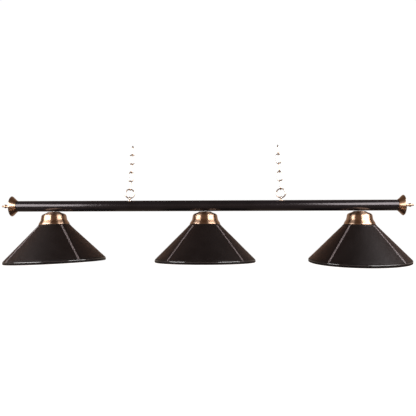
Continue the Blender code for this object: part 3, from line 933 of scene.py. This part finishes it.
def hem_profile():
    """A binding that carries on the leather's line, rolls over at the bend and drops to the rim."""
    start = cover_radius(HEM_TOP)
    lip = measured_from(HEM_TOP, [(start - 1.4, -0.1), (start - 0.2, -0.05), (start + 0.35, -0.3)])
    roll = [(183.4, -197.3), (184.4, -198.3), (184.9, -199.4), (RIM_RADIUS, -201.2), (184.9, -203.8)]
    foot = measured_from(RIM_FOOT, [(184.9, 2), (184.4, 0.8), (183.2, 0), (181.6, -0.2)])
    inner = LINER_EDGE_RADIUS + 0.4
    turned_up = measured_from(RIM_FOOT, [(180.2, 0), (179.5, 0.4)])
    seat = [(179.3, LINER_EDGE - 0.4), (inner, LINER_EDGE - 0.4), (inner, LINER_BEND)]
    back = [(cone_radius(HEM_TOP) + 0.5, HEM_TOP - 0.2)]
    return lip + spline(roll + foot, 5) + turned_up + seat + back


def hem_highlight_line(radius, height):
    """The binding gets a painted highlight: a pale, glossier line where it rolls over at the bend."""
    return bell(height, -199.3, 0.9)


def liner_profile():
    """The steel cone with its top plate, and the plate's raised ring round the hole."""
    hole = 21.5
    edge = LINER_EDGE_RADIUS
    under = SHADE_TOP - LINER_SHEET
    outside = [(hole, SHADE_TOP), (SHADE_TOP_RADIUS, SHADE_TOP), (edge, LINER_BEND), (edge, LINER_EDGE)]
    skirt = [(edge - LINER_SHEET, LINER_EDGE), (edge - LINER_SHEET, LINER_BEND - 0.4)]
    corner = [(cone_radius(under) - LINER_SHEET / OUT_R, under)]
    plate = measured_from(under, [(40, 0), (38.6, -0.7), (36, -0.7), (34.6, 0), (hole, 0)])
    return rounded(outside + skirt + corner + plate, 0.6)


def socket_profile():
    """The lampholder: a hollow crown, a shoulder for the shade and a skirt round the screw shell."""
    bore = NIPPLE_RADIUS + FIT_GAP
    crown = [(bore, -36.3), (16, -36.3), (19.6, -38), (21, -41)]
    shoulder = [(21, -58), (24, -60), (24, -70.7), (21, -70.7)]
    skirt = [(21, -86.6), (20.2, -88), (14.7, -88)]
    inside = [(14.7, -52), (17, -52), (17, -42), (bore, -42)]
    return rounded(crown + shoulder + skirt + inside, 0.7)


def shade_ring_profile():
    """The ring that clamps the shade under the lampholder's shoulder."""
    return rounded([(21.4, -72.3), (27, -72.3), (27, -76.3), (21.4, -76.3)], 0.8)


def threaded_rows(radius, top, bottom):
    """Profile points half a millimetre apart, for lathe to roll a thread into."""
    count = round((top - bottom) / 0.5)
    return [(radius, top - (top - bottom) * step / count) for step in range(count + 1)]


def shell_profile():
    """The lampholder's screw shell, with a contact hole in its top."""
    outside = [(3, -50.7), (13.9, -50.7), *threaded_rows(14.0, -51.7, -83.6), (14.1, -84)]
    return outside + [(13.7, -84), *reversed(threaded_rows(13.55, -52.3, -83.6)), (13.4, -51.2), (3, -51.2)]


def base_profile():
    """A bulb's screw base, closed above by a glass button with the contact on it."""
    contact = [(0, -54.6), (3, -54.7), (4.2, -55.2), (4.8, -56.4)]
    button = [(9.6, -58.6), (11.8, -60)]
    return contact + button + threaded_rows(12.6, -61, -76.6) + [(12.9, -78), (0, -78)]


def glass_profile():
    """The outside of a pear-shaped bulb, from its neck down to its tip."""
    neck = [(12.4, -78.3), (12.7, -82), (13.6, -89)]
    flank = [(17.4, -100), (22, -109), (26.4, -119), (29.2, -130), (29.8, -140)]
    bowl = [(28.4, -149.6), (24.6, -157.4), (18.4, -163), (10.4, -166.2), (0, -167)]
    return spline(neck + flank + bowl, 5)


def make_lamp(side):
    """One lamp unit: fitter, lampholder and clamp ring on the bar, the shade, and the bulb."""
    place = lamp_frame(side)
    turned = place @ Matrix.Rotation(SHADE_TURNS[side], 4, "Z")
    shade = f"shade_{side}"
    bulb = f"bulb_{side}"
    fitter = lathe(f"bell_fitter_{side}", fitter_profile(), 128, worn_and_lit=fitter_wear)
    add_piece(fitter.name, fitter, BRONZE, place, "bar", "bronze", f"fitter_{side}")
    holder = lathe(f"lampholder_{side}", socket_profile(), 64)
    add_piece(holder.name, holder, PORCELAIN, place, "bar", "porcelain", f"socket_body_{side}")
    screw = lathe(f"screw_shell_{side}", shell_profile(), 64, thread=(0.4, 3.6, -82.5, -53))
    add_piece(screw.name, screw, BRASS, place, "bar", "brass", f"socket_shell_{side}")
    clamp = lathe(f"clamp_ring_{side}", shade_ring_profile(), 64)
    add_piece(clamp.name, clamp, PORCELAIN, place, "bar", "porcelain", f"shade_ring_{side}")
    cone = lathe(f"enamelled_cone_{side}", liner_profile(), 160)
    add_piece(cone.name, cone, ENAMEL, turned, shade, "white_enamel", f"shade_liner_{side}")
    seed = Vector((31, 17, 5)) * SIDES[side]
    cover = cover_mesh(f"leather_cover_{side}", seed)
    add_piece(cover.name, cover, PANEL, turned, shade, "leather", f"shade_cover_{side}")
    sewn = stitches(f"seam_stitches_{side}")
    add_piece(sewn.name, sewn, THREAD, turned, shade, "leather")
    hem = lathe(f"leather_binding_{side}", hem_profile(), 240, worn_and_lit=hem_highlight_line, ripple=0.12)
    add_piece(hem.name, hem, BINDING, turned, shade, "hem_leather", f"shade_hem_{side}")
    glass = lathe(f"frosted_bulb_{side}", shell(glass_profile(), 0.8), 64, False)
    add_piece(glass.name, glass, GLASS, place, bulb, "bulb_glass", f"bulb_glass_{side}")
    base = lathe(f"screw_base_{side}", base_profile(), 64, False, thread=(0.45, 3.6, -77, -60.5))
    add_piece(base.name, base, BRASS, place, bulb, "brass", f"bulb_base_{side}")


def finish_hidden_nodes():
    """Materials for the CAD nodes that stay as they are, all of them inside the lamp."""
    kept = {"nipple": STEEL, "loop_nut": STEEL, "end_plug": STEEL, "lead": SLEEVE}
    for name, node in frame["nodes"].items():
        for start, material in kept.items():
            if name.startswith(start):
                node.data.materials.clear()
                node.data.materials.append(material)


# Stage


def add_softbox(name, place, aim, width, height, power):
    """A plain soft light that faces a point, all given from the bar's centre."""
    lamp = bpy.data.lights.new(name, "AREA")
    lamp.shape = "RECTANGLE"
    lamp.size = width
    lamp.size_y = height
    lamp.energy = power
    light = bpy.data.objects.new(name, lamp)
    bpy.context.scene.collection.objects.link(light)
    light.location = BAR_CENTRE + Vector(place)
    light.rotation_euler = (Vector(aim) - Vector(place)).to_track_quat("-Z", "Y").to_euler()
    light.visible_camera = False


def add_floor():
    """A plain pale floor, well below the hanging lamp."""
    shape = bmesh.new()
    bmesh.ops.create_grid(shape, x_segments=8, y_segments=8, size=60)
    data = bpy.data.meshes.new("floor")
    shape.to_mesh(data)
    shape.free()
    floor = bpy.data.objects.new("floor", data)
    bpy.context.scene.collection.objects.link(floor)
    floor.location = BAR_CENTRE + Vector((0, 0, -3.2))
    look = Look("pale_floor", {"Roughness": 0.9, "Emission Strength": 1.05, "Emission Color": (1, 1, 1, 1)})
    cloud = look.noise(look.place(), 0.5, 2.0)
    data.materials.append(look.shade(look.ramp(cloud, (0.88, 0.88, 0.88), (0.9, 0.9, 0.9))))
    floor.visible_glossy = False
    floor.visible_diffuse = False
    floor.visible_shadow = False


# What the lamp reflects, by the height and the depth of a direction, from -1 to 1
ROOM_HEIGHTS = [
    (-1, (0.44, 0.37, 0.31)),
    (-0.3, (0.28, 0.21, 0.16)),
    (-0.05, (0.5, 0.42, 0.36)),
    (0.25, (0.5, 0.4, 0.33)),
    (0.6, (0.24, 0.18, 0.135)),
    (1, (0.13, 0.095, 0.07)),
]
ROOM_DEPTHS = [
    (-1, (0.56, 0.5, 0.47)),
    (-0.2, (0.5, 0.44, 0.41)),
    (0.5, (0.8, 0.74, 0.7)),
    (0.9, (1.0, 1.0, 1.0)),
]


def light_world():
    """A white backdrop, and for what the lamp reflects a dim warm room, paler behind and dark above."""
    world = bpy.data.worlds.new("studio")
    bpy.context.scene.world = world
    world.use_nodes = True
    tree = world.node_tree
    tree.nodes.clear()
    direction = tree.nodes.new("ShaderNodeTexCoord").outputs["Generated"]
    axes = tree.nodes.new("ShaderNodeSeparateXYZ")
    tree.links.new(direction, axes.inputs["Vector"])
    height = world_ramp(tree, axes.outputs["Z"], ROOM_HEIGHTS)
    depth = world_ramp(tree, axes.outputs["Y"], ROOM_DEPTHS)
    room = tree.nodes.new("ShaderNodeMix")
    room.data_type = "RGBA"
    room.blend_type = "MULTIPLY"
    room.inputs[0].default_value = 1
    tree.links.new(height, room.inputs[6])
    tree.links.new(depth, room.inputs[7])
    dim = tree.nodes.new("ShaderNodeBackground")
    tree.links.new(room.outputs[2], dim.inputs["Color"])
    dim.inputs["Strength"].default_value = 1
    white = tree.nodes.new("ShaderNodeBackground")
    white.inputs["Color"].default_value = (1, 1, 1, 1)
    white.inputs["Strength"].default_value = 1.02
    pick = tree.nodes.new("ShaderNodeMixShader")
    path = tree.nodes.new("ShaderNodeLightPath")
    tree.links.new(path.outputs["Is Camera Ray"], pick.inputs[0])
    tree.links.new(dim.outputs[0], pick.inputs[1])
    tree.links.new(white.outputs[0], pick.inputs[2])
    out = tree.nodes.new("ShaderNodeOutputWorld")
    tree.links.new(pick.outputs[0], out.inputs["Surface"])


def world_ramp(tree, value, stops):
    """A colour ramp over a direction's height or depth, from -1 to 1."""
    share = tree.nodes.new("ShaderNodeMapRange")
    share.inputs["From Min"].default_value = -1
    tree.links.new(value, share.inputs["Value"])
    node = tree.nodes.new("ShaderNodeValToRGB")
    tree.links.new(share.outputs["Result"], node.inputs["Fac"])
    made = node.color_ramp.elements
    while len(made) < len(stops):
        made.new(0.5)
    for element, (position, colour) in zip(made, stops):
        element.position = (position + 1) / 2
        element.color = (*colour, 1)
    return node.outputs["Color"]


def light_stage():
    """The room's soft light and two softboxes: name, place, aim, width and height in metres, watts."""
    light_world()
    add_softbox("softbox_left", (-1.09, -0.54, 0.2), (-0.47, 0.045, 0.02), 0.92, 0.55, 14.5)
    add_softbox("softbox_right", (1.14, -0.715, 0.46), (0.01, 0.005, 0.02), 1.34, 0.75, 30)


def add_camera():
    """The photograph's camera, solved from the lamp's ends, rims and loops."""
    data = bpy.data.cameras.new("camera")
    data.lens = CAMERA_LENS
    data.sensor_width = CAMERA_SENSOR
    camera = bpy.data.objects.new("camera", data)
    bpy.context.scene.collection.objects.link(camera)
    camera.location = BAR_CENTRE + Vector(CAMERA_PLACE)
    camera.rotation_euler = [math.radians(angle) for angle in CAMERA_TURNS]
    bpy.context.scene.camera = camera


def set_view():
    """Colours come out as they are lit."""
    bpy.context.scene.view_settings.view_transform = "Standard"
    bpy.context.scene.view_settings.look = "None"


make_bar()
make_bar_ends()
for end in ENDS:
    make_loop(end)
    make_chain(end)
for lamp_side in SIDES:
    make_lamp(lamp_side)
finish_hidden_nodes()
add_floor()
light_stage()
add_camera()
set_view()
